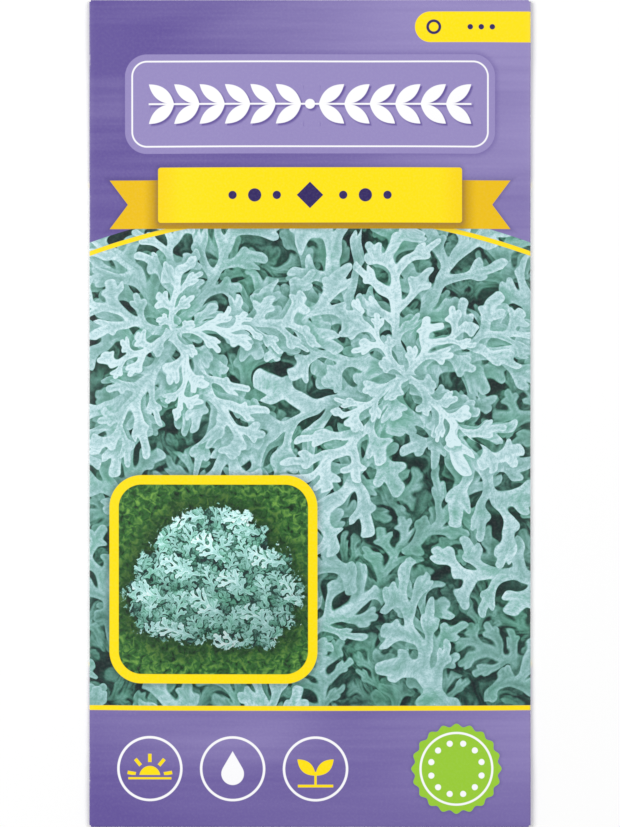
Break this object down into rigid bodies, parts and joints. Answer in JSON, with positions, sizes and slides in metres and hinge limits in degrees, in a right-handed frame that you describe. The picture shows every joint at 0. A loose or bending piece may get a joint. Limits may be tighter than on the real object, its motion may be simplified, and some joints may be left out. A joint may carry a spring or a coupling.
{
  "type": "seed packet",
  "caption": "Flat, sealed paper packet with a picture print on its front, glued flaps on its back and a small heap of loose seeds inside.",
  "frame": {"origin": "centre of the packet's back face, on the surface that the packet lies on", "axes": "+Z out of the printed front, +Y towards the packet's top edge, +X towards the side-flap edge"},
  "size_m": [0.08, 0.15, 0.0022],
  "materials": {
    "printed_paper": "coated paper, printed in colour outside and white inside, with a soft satin gloss",
    "glue": "dried paste in thin flat strips",
    "seed_husk": "dry ribbed brown husk"
  },
  "bodies": {
    "root": {"paper_bag": "printed_paper", "side_flap_glue": "glue", "top_flap_glue": "glue", "bottom_flap_glue": "glue", "seeds": "seed_husk"}
  },
  "joints": []
}
